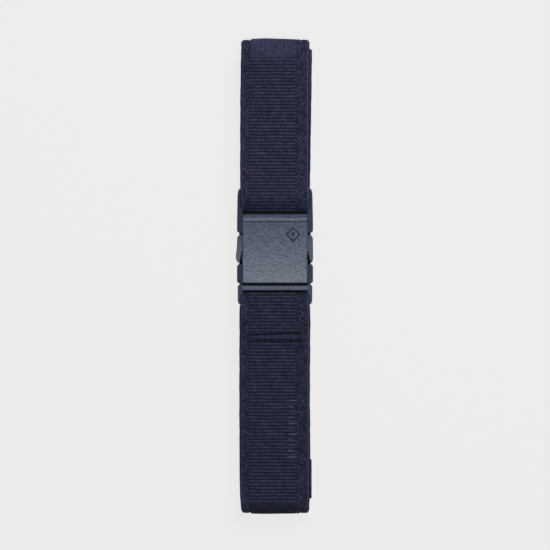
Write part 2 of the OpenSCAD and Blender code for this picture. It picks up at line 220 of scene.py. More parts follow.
# Name, points, and the left and right edge at the end of each stretch, from plug hem to adjuster hem
STRETCHES = [
    ("plug_hem", run(hem_low[1], PLUG_RAMP_Y, INNER_FRONT_Z), -19.2, 19.2),
    ("plug_hem_ramp", ramp(PLUG_RAMP_Y, INNER_FRONT_Z, hem_high[1], UNDER_BAR_Z), -19.2, 19.2),
    ("under_plug_bar", run(hem_high[1], PLUG_WRAP_Y, UNDER_BAR_Z), -19.2, 19.2),
    ("plug_wrap", bend(PLUG_WRAP_Y, BAR_Z, WRAP_R, WRAP_R, -90, 90), -19.2, 19.2),
    ("plug_slot", run(PLUG_WRAP_Y, PLUG_SLOT_Y, FRONT_Z), -19.3, 19.3),
    ("plug_channel", run(PLUG_SLOT_Y, PLUG_EXIT_Y, FRONT_Z), -19.34, 19.34),
    ("front_lower_start", run(PLUG_EXIT_Y, PLUG_CLEAR_Y, FRONT_Z), -19.8, 19.6),
    ("front_lower_a", run(PLUG_CLEAR_Y, -26, FRONT_Z), -19.85, 19.75),
    ("front_lower_b", run(-26, -66, FRONT_Z), -19.95, 19.5),
    ("front_lower_c", run(-66, -110, FRONT_Z), -19.8, 19.8),
    ("front_lower_d", run(-110, NARROWING_Y, FRONT_Z), -19.55, 19.65),
    ("front_lower_e", run(NARROWING_Y, BOTTOM_FOLD_Y, FRONT_Z), -19.15, 19.15),
    ("bottom_fold", fold(BOTTOM_FOLD_Y, BOTTOM_TIP, RAISED_Z, FRONT_Z, 90, 270), -18.55, 19.1),
    ("back_raised", run(BOTTOM_FOLD_Y, RAMP_LOW_Y, RAISED_Z), -18.5, 19.35),
    ("back_ramp", ramp(RAMP_LOW_Y, RAISED_Z, RAMP_HIGH_Y, BACK_Z), -19.0, 19.3),
    ("back_buckle", run(RAMP_HIGH_Y, 0, BACK_Z), -19.0, 19.5),
    ("back_outer", run(0, TOP_FOLD_Y, BACK_Z), -18.9, 19.2),
    ("top_fold", fold(TOP_FOLD_Y, TOP_TIP, BACK_Z, FRONT_Z, -90, 90), -18.95, 19.3),
    ("front_upper_a", run(TOP_FOLD_Y, 100, FRONT_Z), -19.4, 19.2),
    ("front_upper_b", run(100, CLIMB_Y, FRONT_Z), -19.5, 19.3),
    ("front_upper_rise", ramp(CLIMB_Y, FRONT_Z, CREST_Y, FRONT_Z + RISE), -19.4, 19.4),
    ("front_upper_dip", ramp(CREST_Y, FRONT_Z + RISE, SLOT_LIP_Y, FRONT_Z), -19.2, 19.2),
    ("over_socket_bar", run(SLOT_LIP_Y, SOCKET_WRAP_Y, FRONT_Z), -19.2, 19.2),
    ("socket_wrap", bend(SOCKET_WRAP_Y, BAR_Z, WRAP_R, WRAP_R, 90, 270), -19.2, 19.2),
    ("under_socket_bar", run(SOCKET_WRAP_Y, INNER_RAMP_LOW_Y, UNDER_BAR_Z), -19.1, 19.4),
    ("inner_front_ramp", ramp(
        INNER_RAMP_LOW_Y, UNDER_BAR_Z, INNER_RAMP_HIGH_Y, INNER_FRONT_Z), -18.8, 19.7),
    ("inner_front_a", run(INNER_RAMP_HIGH_Y, 95, INNER_FRONT_Z), -18.3, 20.3),
    ("inner_front_b", run(95, INNER_FOLD_Y, INNER_FRONT_Z), -17.9, 20.65),
    ("inner_fold", fold(INNER_FOLD_Y, INNER_TIP, INNER_BACK_Z, INNER_FRONT_Z, 90, -90), -17.9, 20.6),
    ("inner_back_upper", run(INNER_FOLD_Y, SPLIT_Y, INNER_BACK_Z), -19.3, 19.2),
    ("inner_back_middle", run(SPLIT_Y, RAMP_HIGH_Y, INNER_BACK_Z), -19.6, 18.9),
    ("inner_back_ramp", ramp(RAMP_HIGH_Y, INNER_BACK_Z, RAMP_LOW_Y, LOOP_LOW_Z), -19.0, 19.2),
    ("inner_back_lower", run(RAMP_LOW_Y, LOOP_END_Y, LOOP_LOW_Z), -18.6, 19.4),
    ("adjuster_loop", run(LOOP_END_Y, ADJUSTER_WRAP_Y, LOOP_LOW_Z), -18.55, 19.45),
    ("adjuster_wrap", bend(
        ADJUSTER_WRAP_Y, ADJUSTER_BAR_Z, ADJUSTER_WRAP_R, ADJUSTER_WRAP_R, 270, 90), -18.55, 19.45),
    ("over_adjuster_bar", run(ADJUSTER_WRAP_Y, OVER_BAR_Y, LOOP_TOP_Z), -18.55, 19.45),
    ("adjuster_hem_ramp", ramp(OVER_BAR_Y, LOOP_TOP_Z, ADJUSTER_HEM_Y, LOOP_HEM_Z), -18.55, 19.45),
    ("adjuster_hem", run(ADJUSTER_HEM_Y, loop_high[1], LOOP_HEM_Z), -18.6, 19.4),
]

RIB_PITCH = 1.87
STEP = RIB_PITCH / 6


def lay_path():
    """The path at even steps: distance s, middle x and half width, y and z, outward normal, curvature.

    It also gives the distance at which each stretch ends.
    """
    points, along, ends = [], [], {}
    total = 0.0
    knots, left, right = [0.0], [STRETCHES[0][2]], [STRETCHES[0][3]]
    for name, stretch, left_end, right_end in STRETCHES:
        for p in stretch:
            if points:
                gap = math.dist(points[-1], p)
                if gap < 1e-6:
                    continue
                total += gap
            points.append(p)
            along.append(total)
        ends[name] = total
        knots.append(total)
        left.append(left_end)
        right.append(right_end)
    s = np.arange(int(total / STEP) + 1) * STEP
    points = np.array(points)
    y = np.interp(s, along, points[:, 0])
    z = np.interp(s, along, points[:, 1])
    left = np.interp(s, knots, left)
    right = np.interp(s, knots, right)
    heading = np.unwrap(np.arctan2(np.gradient(z), np.gradient(y)))
    reach = 4
    window = np.ones(2 * reach + 1) / (2 * reach + 1)
    curvature = np.convolve(np.pad(np.gradient(heading, STEP), reach, "edge"), window, "valid")
    return {
        "s": s, "x": (left + right) / 2, "half": (right - left) / 2, "y": y, "z": z,
        "out_y": np.sin(heading), "out_z": -np.cos(heading),
        "curvature": curvature, "ends": ends,
    }


PATH = lay_path()
FRONT_LOWER_S = PATH["ends"]["plug_wrap"] + PLUG_WRAP_Y


def s_on_front(y):
    """Distance along the webbing of a place on the lower front."""
    return FRONT_LOWER_S - y


# ---- Weave of the webbing ----

# Places across the strip, as distances from its middle: edge, start of the border, of the folds'
# tuck, of the bead and of its rounded rim
HALF_W = 19.2
BORDER = 13.15
NOTCH = 14.2
BEAD = 18.2
RIM = 18.6
# The ribs sit this much left of the middle
BORDER_SHIFT = 1.15
# Along the strip, and across it, from one float of the border's weave to the next
BORDER_PITCH, TWILL_STEP = 1.5, 1.1
# Width of a float in the ribs
FLOAT_W = 1.25
# Height of the ribs' relief, and of the border, its floats and the bead above the strip's middle
RIB_H, BORDER_H, FLOAT_H, BEAD_H = 0.42, 0.58, 0.24, 0.8
# Shade of the folds' plain cloth, where the ribs are flattened out: a painted highlight on the top fold and
# painted shade on the bottom fold
TOP_PLAIN_LIT, BOTTOM_PLAIN_SHADED = 0.87, 0.36
# From about here down, the adjuster keeps the strip's edges straight
HELD_BELOW_Y = -86
seam_low, seam_high = box_mm("plug_seam_stitches")
SEAM_ROW_1 = seam_high[1] - 0.25
SEAM_ROW_2 = seam_low[1] + 1.1
SEAM_LEFT, SEAM_RIGHT = seam_low[0] + 0.4, seam_high[0]
SEAM_TILT = 0.033


def columns(centre_step, border_step):
    """Places across the webbing, closer together where the weave is finer."""
    left, right = (
        np.concatenate([
            np.arange(0, border - 0.3, centre_step),
            [border - 0.2, border, border + 0.2],
            np.arange(border + 0.4, BEAD - 0.5, border_step),
            [BEAD - 0.3, BEAD - 0.1, BEAD + 0.1, BEAD + 0.3],
            RIM + (HALF_W - RIM) * np.array([0.2, 0.5, 0.75, 0.9, 0.97, 1]),
        ])
        for border in (BORDER + BORDER_SHIFT, BORDER - BORDER_SHIFT)
    )
    return np.concatenate([-left[:0:-1], right])


def seam_dent(u, s):
    """How far the plug seam pulls the face down, how much of the ribs it leaves, and its shade: painted
    shade in the dents the stitches pull.
    """
    inside = smooth(SEAM_LEFT - 1, SEAM_LEFT + 0.3, u) * smooth(SEAM_RIGHT + 0.6, SEAM_RIGHT - 1.2, u)
    below = s - s_on_front(SEAM_ROW_1 + SEAM_TILT * u)
    row_1 = hump(0, 0.42, below)
    row_2 = np.exp(-(((s - s_on_front(SEAM_ROW_2)) / 1.05) ** 4))
    band = smooth(-0.8, 0.3, below) * smooth(1.3, 0.4, s - s_on_front(SEAM_ROW_2))
    pucker = 0.5 + 0.5 * np.sin(2.1 * u + 1.3 * np.sin(0.7 * u))
    # Painted shade in the seam's dents and puckers
    shade = 1 - inside * (0.85 * row_1 + 0.3 * row_2 + 0.15 * band * pucker)
    return inside * (0.42 * row_1 + 0.3 * row_2), 1 - inside * band, shade


def ribs(u, s, y, share, left):
    """Height and shade of the ribs, with painted shade in their valleys. share is how far they stand up,
    left what the seam leaves of them.
    """
    wander = 0.03 * np.sin(0.31 * u + 0.17 * s) + 0.022 * np.sin(1.1 * u - 0.71 * s + 2)
    phase = s / RIB_PITCH + wander + 0.02 * np.sin(2.7 * u + 1.9 * s)
    number = np.floor(phase)
    rib = abs(np.sin(np.pi * phase)) ** 0.8
    rib_tone = 0.9 + 0.1 * np.sin(2.4 * number) * np.sin(0.4 * u + 1.7 * number)
    height = HALF_T - RIB_H * (1 - rib) * share - 0.1 * (1 - share)
    # Painted light on the top fold's plain cloth, painted shade on the bottom fold's
    plain = np.where(y > 0, TOP_PLAIN_LIT, BOTTOM_PLAIN_SHADED)
    plain = plain + (0.8 - plain) * (1 - smooth(0, 0.2, left))
    # The rib valleys are painted dark: painted shade. rib_tone is random tone of the yarn
    return height, share * (0.1 + 0.9 * rib**1.4) * rib_tone + (1 - share) * plain


def twill(u, s, from_ribs):
    """Height and shade of a border: floats that step along a diagonal, each with its own lightness, and
    painted shade where a float dips.
    """
    column = np.floor((from_ribs - BORDER) / TWILL_STEP)
    pick_at = s / BORDER_PITCH + 0.37 * column + 0.05 * np.sin(0.9 * s + u)
    float_up = abs(np.sin(np.pi * pick_at))
    # The usual sine hash: an even spread of values from whole numbers
    chance = (np.sin(12.9898 * column + 78.233 * np.floor(pick_at) + np.sign(u)) * 43758.5453) % 1
    height = BORDER_H + FLOAT_H * smooth(0.1, 0.7, float_up)
    # chance is each float's own tone; the darkening where a float dips is painted shade
    return height, 0.06 + (0.25 + 0.68 * chance) * smooth(0.2, 0.8, float_up)


def in_arms(y):
    """1 between the arms of the socket or the plug, where the painted shade on the strip's rim is lightened:
    painted light from the side.
    """
    socket = smooth(SLOT_Y, SLOT_Y + 3, y) * smooth(ARMS_END_Y + 3, ARMS_END_Y, y)
    return socket + smooth(PLUG_END_Y - 2, PLUG_END_Y, y) * smooth(CROSSBAR_Y + 3, CROSSBAR_Y, y)


def face(u, s, y, bent, seamed):
    """A woven face: its height above the middle of the webbing, and how light it is, from 0 to 1, painted
    shade and highlights included.
    """
    across, from_ribs = abs(u), abs(u + BORDER_SHIFT)
    dent, left, seam_shade = seam_dent(u, s) if seamed else (0, np.ones_like(u), 1)
    flat = smooth(TOP_TIP - 14, TOP_TIP - 7, y) + smooth(BOTTOM_EDGE_Y + 6.5, BOTTOM_EDGE_Y + 3.5, y)
    share = (1 - 0.92 * smooth(0.02, 0.09, abs(bent))) * (1 - 0.9 * flat) * left
    height, shade = ribs(u, s, y, share, left)
    border_height, border_shade = twill(u, s, from_ribs)
    in_border = smooth(BORDER - 0.2, BORDER + 0.2, from_ribs)
    height = height + (border_height - height) * in_border
    shade = shade + (border_shade - shade) * in_border
    groove = hump(BORDER, 0.25, from_ribs)
    height = height - 0.16 * groove
    # Painted shade in the groove between the ribs and the border
    shade = shade * (1 - 0.3 * groove)
    bead = smooth(BEAD - 0.5, BEAD - 0.25, across)
    height = height + (BEAD_H - height) * bead
    # The bead's shade, with a painted highlight on the right bead as if lit from the right
    shade = shade + (np.where(u > 0, 1.0, 0.72) - shade) * bead
    # Painted shade on the rounded rim, lightened between the buckle's arms
    rim = smooth(BEAD + 0.05, BEAD + 0.5, across)
    height = height - 0.12 * rim
    shade = shade * (1 - (0.8 - 0.6 * in_arms(y)) * rim)
    edge = np.clip((across - RIM) / (HALF_W - RIM), 0, 1)
    # The seam's shade, and painted shade from the key lamp's falloff that darkens the strip towards the
    # bottom
    shade = shade * seam_shade * (1 - 0.14 * smooth(10, -30, y))
    return (height - dent) * np.sqrt(1 - edge**2.4), np.clip(shade, 0, 1)


def fold_bulge(u, y, bent):
    """How far a fold stands out from an even bend: fullest left of the middle, tucked in at the borders."""
    across = abs(u)
    off = np.sqrt((u + 6) ** 2 + 1) - 1
    slope = np.where(u < -6, 0.055, 0.034) * np.where(y > 0, 1, 0.45)
    bulge = np.where(y > 0, -0.14, 0.46) - slope * off
    left, right = np.where(y > 0, 0.42, 0.35), np.where(y > 0, 0.1, 0.2)
    tuck = np.where(u < 0, left, right) * smooth(NOTCH - 0.4, NOTCH + 0.3, across)
    corner = np.where(bent < 0, 0.15, 0.9) * smooth(17.4, HALF_W, across) ** 2
    return bulge - tuck * np.where(bent < 0, 0.4, 1) - 0.4 * hump(NOTCH, 0.45, across) - corner


def slot_shade(y, z):
    """Painted shadow: the strip's face is painted darker where it goes down into the buckle's two slots."""
    top = z > FRONT_Z - 1
    socket = smooth(SLOT_Y + 12, SLOT_Y, y) * smooth(SLOT_Y - 6, SLOT_Y - 3, y)
    deep_shadow = smooth(SLOT_Y + 2.0, SLOT_Y + 0.8, y) * smooth(SLOT_Y - 6, SLOT_Y - 3, y)
    plug = smooth(CROSSBAR_Y - 1.7, CROSSBAR_Y - 0.6, y) * smooth(CROSSBAR_Y + 9, CROSSBAR_Y + 6, y)
    return np.where(top, (1 - 0.5 * socket) * (1 - 0.95 * deep_shadow) * (1 - 0.85 * plug), 1)


def held(y):
    """1 where the buckle or the adjuster keeps the strip's edges straight, 0 where they wander."""
    buckle = smooth(PLUG_END_Y - 4, PLUG_END_Y - 1, y) * smooth(ARMS_END_Y + 4, ARMS_END_Y, y)
    return buckle + smooth(HELD_BELOW_Y, HELD_BELOW_Y - 4, y)


def webbing(name, first, last):
    """The strip from the end of one named stretch to the end of another, as a closed woven solid."""
    ends = PATH["ends"]
    i0 = round(ends[first] / STEP) if first else 0
    i1 = round(ends[last] / STEP) if last else len(PATH["s"]) - 1
    part = {key: values[i0:i1 + 1, None] for key, values in PATH.items() if key != "ends"}
    s, middle_y, bent = part["s"], part["y"], part["curvature"]
    turned = np.clip(5 * bent, -1, 1) * smooth(INNER_FOLD_Y - 4, INNER_FOLD_Y, abs(middle_y))
    outer, inner = columns(1.1, 0.26), columns(2.3, 1.1)[1:-1][::-1]
    sides, shades = [], []
    for u, way, seamed in ((outer[None, :], 1, True), (inner[None, :], -1, False)):
        height, shade = face(u, s, middle_y, bent, seamed)
        height = way * height + turned * fold_bulge(u, middle_y, bent)
        wave = 0.05 * np.sin(0.35 * s + 1.3 * np.sign(u)) + 0.04 * np.sin(0.9 * s + 2 * np.sign(u))
        wave = wave * (1 - held(middle_y)) * smooth(15, 19, abs(u))
        x = part["x"] + u * part["half"] / HALF_W + wave
        y = middle_y + part["out_y"] * height
        z = part["z"] + part["out_z"] * height
        sides.append(np.stack([np.broadcast_to(x, y.shape), y, z], axis=-1))
        # Painted shadow where the strip goes into the slots
        shades.append(shade * slot_shade(y, z))
    grid = np.concatenate(sides, axis=1)
    number = np.arange(grid.shape[0] * grid.shape[1]).reshape(grid.shape[:2])
    beside = np.roll(number, -1, axis=1)
    quads = np.stack([number[:-1], beside[:-1], beside[1:], number[1:]], axis=-1).reshape(-1, 4)
    caps = [number[0, ::-1], number[-1]]
    weave = np.broadcast_arrays(np.concatenate([outer, inner])[None, :], s)
    layers = {
        "weave": np.stack(weave, axis=-1).reshape(-1, 2),
        "shade": uv_pair(np.concatenate(shades, axis=1)),
    }
    made = grid_mesh(name, grid.reshape(-1, 3), quads, caps, WEBBING, layers)
    return made


# ---- Materials ----

class Nodes:
    """Builds a material's node tree with short calls."""

    def __init__(self, name):
        self.material = bpy.data.materials.new(name)
        self.material.use_nodes = True
        self.tree = self.material.node_tree
        self.tree.nodes.clear()

    def add(self, kind, links=None, **settings):
        made = self.tree.nodes.new(kind)
        for key, value in settings.items():
            setattr(made, key, value)
        for socket, source in (links or {}).items():
            if isinstance(source, bpy.types.NodeSocket):
                self.tree.links.new(source, made.inputs[socket])
            else:
                made.inputs[socket].default_value = source
        return made

    def math(self, operation, a, b=0.0):
        return self.add("ShaderNodeMath", {0: a, 1: b}, operation=operation).outputs[0]

    def noise(self, vector, scale, detail=2.0, roughness=0.5):
        links = {"Vector": vector, "Scale": scale, "Detail": detail, "Roughness": roughness}
        return self.add("ShaderNodeTexNoise", links).outputs["Fac"]

    def spread(self, value, low, high, to_low=0.0, to_high=1.0):
        links = {"Value": value, "From Min": low, "From Max": high, "To Min": to_low, "To Max": to_high}
        return self.add("ShaderNodeMapRange", links).outputs[0]

    def scaled(self, vector, scale):
        return self.add("ShaderNodeMapping", {"Vector": vector, "Scale": scale}).outputs["Vector"]

    def uv(self, layer):
        return self.add("ShaderNodeUVMap", uv_map=layer).outputs["UV"]

    def object_mm(self):
        return self.scaled(self.add("ShaderNodeTexCoord").outputs["Object"], (1000, 1000, 1000))

    def part(self, vector, axis):
        return self.add("ShaderNodeSeparateXYZ", {"Vector": vector}).outputs[axis]

    def mix(self, factor, a, b):
        made = self.add("ShaderNodeMix", data_type="RGBA")
        for socket, source in zip(("Factor", "A", "B"), (factor, a, b)):
            found = [i for i in made.inputs if i.name == socket and i.enabled][0]
            if isinstance(source, bpy.types.NodeSocket):
                self.tree.links.new(source, found)
            else:
                found.default_value = source
        return [o for o in made.outputs if o.enabled][0]

    def bump(self, height, distance):
        links = {"Height": height, "Distance": distance * MM, "Strength": 1.0}
        return self.add("ShaderNodeBump", links).outputs["Normal"]

    def surface(self, links):
        shader = self.add("ShaderNodeBsdfPrincipled", links)
        self.add("ShaderNodeOutputMaterial", {"Surface": shader.outputs[0]})
        return self.material


def colour(r, g, b):
    """An opaque linear colour."""
    return (r, g, b, 1.0)


WEB_DARK = colour(0.0015, 0.0015, 0.004)
WEB_LIGHT, WEB_LIGHT_BLUE = colour(0.077, 0.075, 0.156), colour(0.065, 0.074, 0.144)
NAVY_DARK, NAVY_LIGHT = colour(0.026, 0.034, 0.060), colour(0.033, 0.043, 0.072)
# The plug frame's navy, painted lighter than the shell's as painted light its flat crossbar catches
FRAME_LIT_DARK, FRAME_LIT_LIGHT = colour(0.032, 0.045, 0.082), colour(0.058, 0.074, 0.122)
# The face plate's navy, painted lighter than the shell's as painted light its flat top catches
PLATE_LIT_DARK, PLATE_LIT_LIGHT = colour(0.020, 0.031, 0.066), colour(0.062, 0.080, 0.138)
ADJUSTER_DARK, ADJUSTER_LIGHT = colour(0.003, 0.003, 0.005), colour(0.006, 0.006, 0.009)
THREAD_DARK, THREAD_LIGHT = colour(0.001, 0.001, 0.003), colour(0.003, 0.003, 0.007)
PRINT_DARK, PRINT_LIGHT = colour(0.019, 0.036, 0.098), colour(0.030, 0.054, 0.140)
EDGE_TINT = colour(0.06, 0.07, 0.10)
# Painted shade for the plate's cuts, groove and edges
CUT_PAINTED_SHADE = colour(0.005, 0.008, 0.018)
# Painted shade of the weave under the print
PRINT_PAINTED_SHADE = colour(0.006, 0.008, 0.018)
# Painted shadow for the walls of the buckle's hollows
HOLLOW_PAINTED_SHADOW = colour(0.010, 0.018, 0.046)


def webbing_material():
    """Navy elastic webbing: ribs broken into floats of yarn that each differ a little in shade."""
    n = Nodes("navy_webbing")
    place = n.uv("weave")
    across, along = n.part(place, "X"), n.part(place, "Y")
    # The mesh's shade layer holds painted shade, painted shadow and painted highlights
    shade = n.part(n.uv("shade"), "X")
    rib = n.math("FLOOR", n.math("DIVIDE", along, RIB_PITCH))
    shift = n.math("MULTIPLY", n.math("MODULO", rib, 2.0), 0.5)
    float_at = n.math("ADD", n.math("DIVIDE", across, FLOAT_W), shift)
    cell = n.add("ShaderNodeCombineXYZ", {"X": n.math("FLOOR", float_at), "Y": rib}).outputs[0]
    chance = n.add("ShaderNodeTexWhiteNoise", {"Vector": cell}, noise_dimensions="2D").outputs["Value"]
    between = n.math("ABSOLUTE", n.math("SINE", n.math("MULTIPLY", float_at, math.pi)))
    floats = n.math("MULTIPLY", n.spread(chance, 0, 1, 0.6, 1.0), n.spread(between, 0.0, 0.6, 0.5, 1.0))
    from_middle = n.math("ABSOLUTE", n.math("ADD", across, BORDER_SHIFT))
    centre = n.math("LESS_THAN", from_middle, BORDER - 0.1)
    floats = n.math("ADD", n.math("MULTIPLY", n.math("SUBTRACT", floats, 0.9), centre), 0.9)
    dash = n.noise(n.scaled(place, (0.3, 0.9, 1)), 1.0, 2, 0.6)
    fleck = n.noise(n.scaled(place, (1.6, 1.6, 1)), 1.0, 3, 0.7)
    broad = n.noise(n.scaled(place, (0.12, 0.05, 1)), 1.0, 2)
    tone = n.math("ADD", n.math("MULTIPLY", dash, 0.5), n.math("MULTIPLY", fleck, 0.5))
    tone = n.spread(tone, 0.35, 0.65, 0.6, 1.0)
    lit = n.math("MULTIPLY", n.math("MULTIPLY", shade, tone), floats)
    light = n.mix(n.spread(broad, 0.35, 0.65), WEB_LIGHT, WEB_LIGHT_BLUE)
    base = n.mix(lit, WEB_DARK, light)
    pick = n.math("SINE", n.math("MULTIPLY", along, 2 * math.pi / 0.42))
    yarn = n.math("SINE", n.math("MULTIPLY", across, 2 * math.pi / 0.62))
    weave = n.math("ADD", n.math("MULTIPLY", yarn, 0.4), n.math("MULTIPLY", pick, 0.25))
    height = n.math("ADD", weave, n.math("MULTIPLY", fleck, 1.2))
    return n.surface({
        "Base Color": base, "Roughness": 0.85, "Specular IOR Level": 0.12,
        "Sheen Weight": 0.03, "Sheen Roughness": 0.5, "Sheen Tint": colour(0.5, 0.55, 0.9),
        "Normal": n.bump(height, 0.06),
    })


def plastic_material(name, dark, light, roughness, grain, shaded=False, deep_shadow=None):
    """Moulded plastic with a pebbled grain, faint flow marks and a lighter tint on sharp edges.

    shaded takes the painted shade of grooves, cuts and edges from the mesh. The hollow argument is a half
    width, the first and last place along Y and a height that bound a hollow whose walls get a painted
    shadow.
    """
    n = Nodes(name)
    place = n.object_mm()
    pebble = n.noise(place, 1.25, 2, 0.5)
    fine = n.noise(place, 4.5, 2, 0.5)
    streak = n.noise(n.scaled(place, (0.08, 1.6, 1)), 1.0, 2)
    coarse = n.noise(n.scaled(place, (0.8, 0.6, 1)), 1.0, 2, 0.6)
    tone = n.math("ADD", n.math("MULTIPLY", coarse, 0.75), n.math("MULTIPLY", streak, 0.25))
    base = n.mix(n.spread(tone, 0.36, 0.64), dark, light)
    edge_lightening = n.spread(n.add("ShaderNodeNewGeometry").outputs["Pointiness"], 0.52, 0.62, 0, 0.25)
    base = n.mix(edge_lightening, base, EDGE_TINT)
    rough = n.math("ADD", n.math("MULTIPLY", fine, 0.1), roughness - 0.05)
    if shaded:
        # Painted shade: cuts, the groove and the plate's edges are painted darker and rougher
        painted_shade = n.part(n.uv("shade"), "X")
        base = n.mix(painted_shade, CUT_PAINTED_SHADE, base)
        rough = n.math("MAXIMUM", rough, n.math("SUBTRACT", 1.0, painted_shade))
    if deep_shadow:
        # Painted shadow: the walls inside this hollow are painted dark and rough
        half, start, end, top = deep_shadow
        inside = n.math("LESS_THAN", n.math("ABSOLUTE", n.part(place, "X")), half)
        middle = n.math("ABSOLUTE", n.math("SUBTRACT", n.part(place, "Y"), (start + end) / 2))
        along = n.math("LESS_THAN", middle, (end - start) / 2)
        below = n.math("LESS_THAN", n.part(place, "Z"), top)
        painted_shadow = n.math("MULTIPLY", n.math("MULTIPLY", inside, along), below)
        base = n.mix(painted_shadow, base, HOLLOW_PAINTED_SHADOW)
        rough = n.math("MAXIMUM", rough, painted_shadow)
    height = n.math("ADD", pebble, n.math("MULTIPLY", fine, 0.3))
    return n.surface({
        "Base Color": base, "Roughness": rough, "Specular IOR Level": 0.5,
        "Normal": n.bump(n.math("ADD", coarse, height), grain),
    })


def thread_material():
    """Near-black navy sewing thread with a fine twist."""
    n = Nodes("navy_thread")
    place = n.object_mm()
    twist = n.math("SINE", n.math("MULTIPLY", n.part(place, "X"), 18.0))
    fuzz = n.noise(place, 6.0, 3)
    base = n.mix(fuzz, THREAD_DARK, THREAD_LIGHT)
    return n.surface({
        "Base Color": base, "Roughness": 0.7, "Specular IOR Level": 0.15,
        "Normal": n.bump(n.math("ADD", twist, fuzz), 0.04),
    })


def print_material():
    """Heat-set print film that has sunk into the weave and lets some of it show, with the weave's painted
    shade.
    """
    n = Nodes("blue_print")
    speck = n.noise(n.object_mm(), 2.5, 4, 0.7)
    shade = n.part(n.uv("shade"), "X")
    film = n.mix(speck, PRINT_DARK, PRINT_LIGHT)
    base = n.mix(shade, PRINT_PAINTED_SHADE, film)
    return n.surface({"Base Color": base, "Roughness": 0.6, "Normal": n.bump(speck, 0.05)})


# Hollows whose walls get a painted shadow: half width, first and last place along Y, and height
WINDOW = (20.2, 5.3, 24.4, shell_low[2] + 1.2)
GAP = (19.7, CROSSBAR_Y + 1.2, MOUTH_Y + 0.5, BAR_Z + 1.4)

WEBBING = webbing_material()
PLATE = plastic_material("navy_plate_lit", PLATE_LIT_DARK, PLATE_LIT_LIGHT, 0.35, 0.1, shaded=True)
SHELL = plastic_material("navy_shell", NAVY_DARK, NAVY_LIGHT, 0.38, 0.03, deep_shadow=WINDOW)
FRAME = plastic_material("navy_frame_lit", FRAME_LIT_DARK, FRAME_LIT_LIGHT, 0.48, 0.09, deep_shadow=GAP)
LATCH = plastic_material("slate_latch", NAVY_DARK, NAVY_LIGHT, 0.42, 0.05)
ADJUSTER = plastic_material("black_adjuster", ADJUSTER_DARK, ADJUSTER_LIGHT, 0.55, 0.02)
THREAD = thread_material()
PRINT = print_material()


# ---- Pieces of webbing ----

lower = webbing("webbing_plug_to_back", None, "back_ramp")
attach(lower, "plug_side")
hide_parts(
    "strap_plug_hem", "strap_plug_wrap", "strap_front_lower", "strap_bottom_fold",
    "strap_back_raised",
)

back = webbing("webbing_back_outer", "back_ramp", "back_outer")
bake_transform(back)
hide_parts("strap_back_outer")

upper = webbing("webbing_top_to_socket", "back_outer", "inner_fold")
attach(upper, "socket_side")
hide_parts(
    "strap_top_fold_outer", "strap_front_upper", "strap_socket_wrap", "strap_inner_front",
    "strap_top_fold_inner",
)

inner_upper = webbing("webbing_inner_upper", "inner_fold", "inner_back_upper")
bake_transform(inner_upper)
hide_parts("strap_inner_back_upper")

inner_lower = webbing("webbing_inner_lower", "inner_back_upper", "inner_back_lower")
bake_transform(inner_lower)
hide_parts("strap_inner_back_lower")

loop = webbing("webbing_adjuster_loop", "inner_back_lower", None)
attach(loop, "adjuster")
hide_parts("strap_adjuster_loop")


# ---- Face plate ----

PLATE_TOP = plate_high[2]
PLATE_MIDDLE_Y = 14.0
PLATE_SET_BACK = 0.22
PLATE_END_Y = SLOT_Y - 0.25
GROOVE_Y = SLOT_Y - 4.45
RIDGE_Y = SLOT_Y - 2.6
CROWN_R = 260.0
CROWN_ACROSS_R = 900.0
BAND_RISE = 0.045
BADGE = (10.0, 22.9)
BADGE_R = 4.2
BADGE_LINE = 0.35
BADGE_DEPTH = 0.32


def plate_height(x, y):
    """Top of the face plate: a shallow crown, a groove, a ridge rolling into the slot, eased edges."""
    crown = PLATE_TOP - (y - PLATE_MIDDLE_Y) ** 2 / (2 * CROWN_R) - x**2 / (2 * CROWN_ACROSS_R)
    level = PLATE_TOP - (GROOVE_Y - PLATE_MIDDLE_Y) ** 2 / (2 * CROWN_R) - x**2 / (2 * CROWN_ACROSS_R)
    band = level + BAND_RISE * np.clip((y - GROOVE_Y) / (RIDGE_Y - GROOVE_Y), 0, 1)
    past = np.clip(y - RIDGE_Y, 0, None)
    roll = band - 0.09 * past**1.5 - 0.5 * smooth(PLATE_END_Y - 0.5, PLATE_END_Y + 0.15, y)
    top = np.where(y > GROOVE_Y, roll, crown) - 0.3 * hump(GROOVE_Y, 0.26, y)
    top = top - 0.2 * smooth(0.2, 0, y - MOUTH_Y - PLATE_SET_BACK)
    return top - 0.2 * smooth(0.22, 0, plate_high[0] - abs(x))


def plate_shade(x, y, cut):
    """How light the face plate is: painted shade in the badge, the groove, the roll into the slot and the
    edges.
    """
    shade = 1 - 0.78 * cut - 0.66 * hump(GROOVE_Y, 0.34, y) - 0.5 * hump(PLATE_END_Y, 0.25, y)
    shade = shade - 0.22 * smooth(RIDGE_Y + 0.1, RIDGE_Y + 0.6, y)
    shade = shade - 0.5 * hump(MOUTH_Y + PLATE_SET_BACK, 0.2, y) - 0.35 * hump(plate_high[0], 0.15, abs(x))
    return np.clip(shade, 0, 1)


def badge_cut(x, y):
    """1 inside the diamond line and the small diamond in its middle, 0 outside."""
    out = (abs(x - BADGE[0]) + abs(y - BADGE[1])) / math.sqrt(2)
    line = smooth(BADGE_LINE + 0.1, BADGE_LINE - 0.06, abs(out - (BADGE_R / math.sqrt(2) - BADGE_LINE)))
    return np.maximum(line, smooth(0.85, 0.65, out))


def spaced(low, high, step, fine_low, fine_high, fine_step):
    """Places from low to high, closer together in one stretch."""
    return np.unique(np.round(np.concatenate([
        np.linspace(low, fine_low, max(2, round((fine_low - low) / step) + 1)),
        np.linspace(fine_low, fine_high, max(2, round((fine_high - fine_low) / fine_step) + 1)),
        np.linspace(fine_high, high, max(2, round((high - fine_high) / step) + 1)),
    ]), 5))


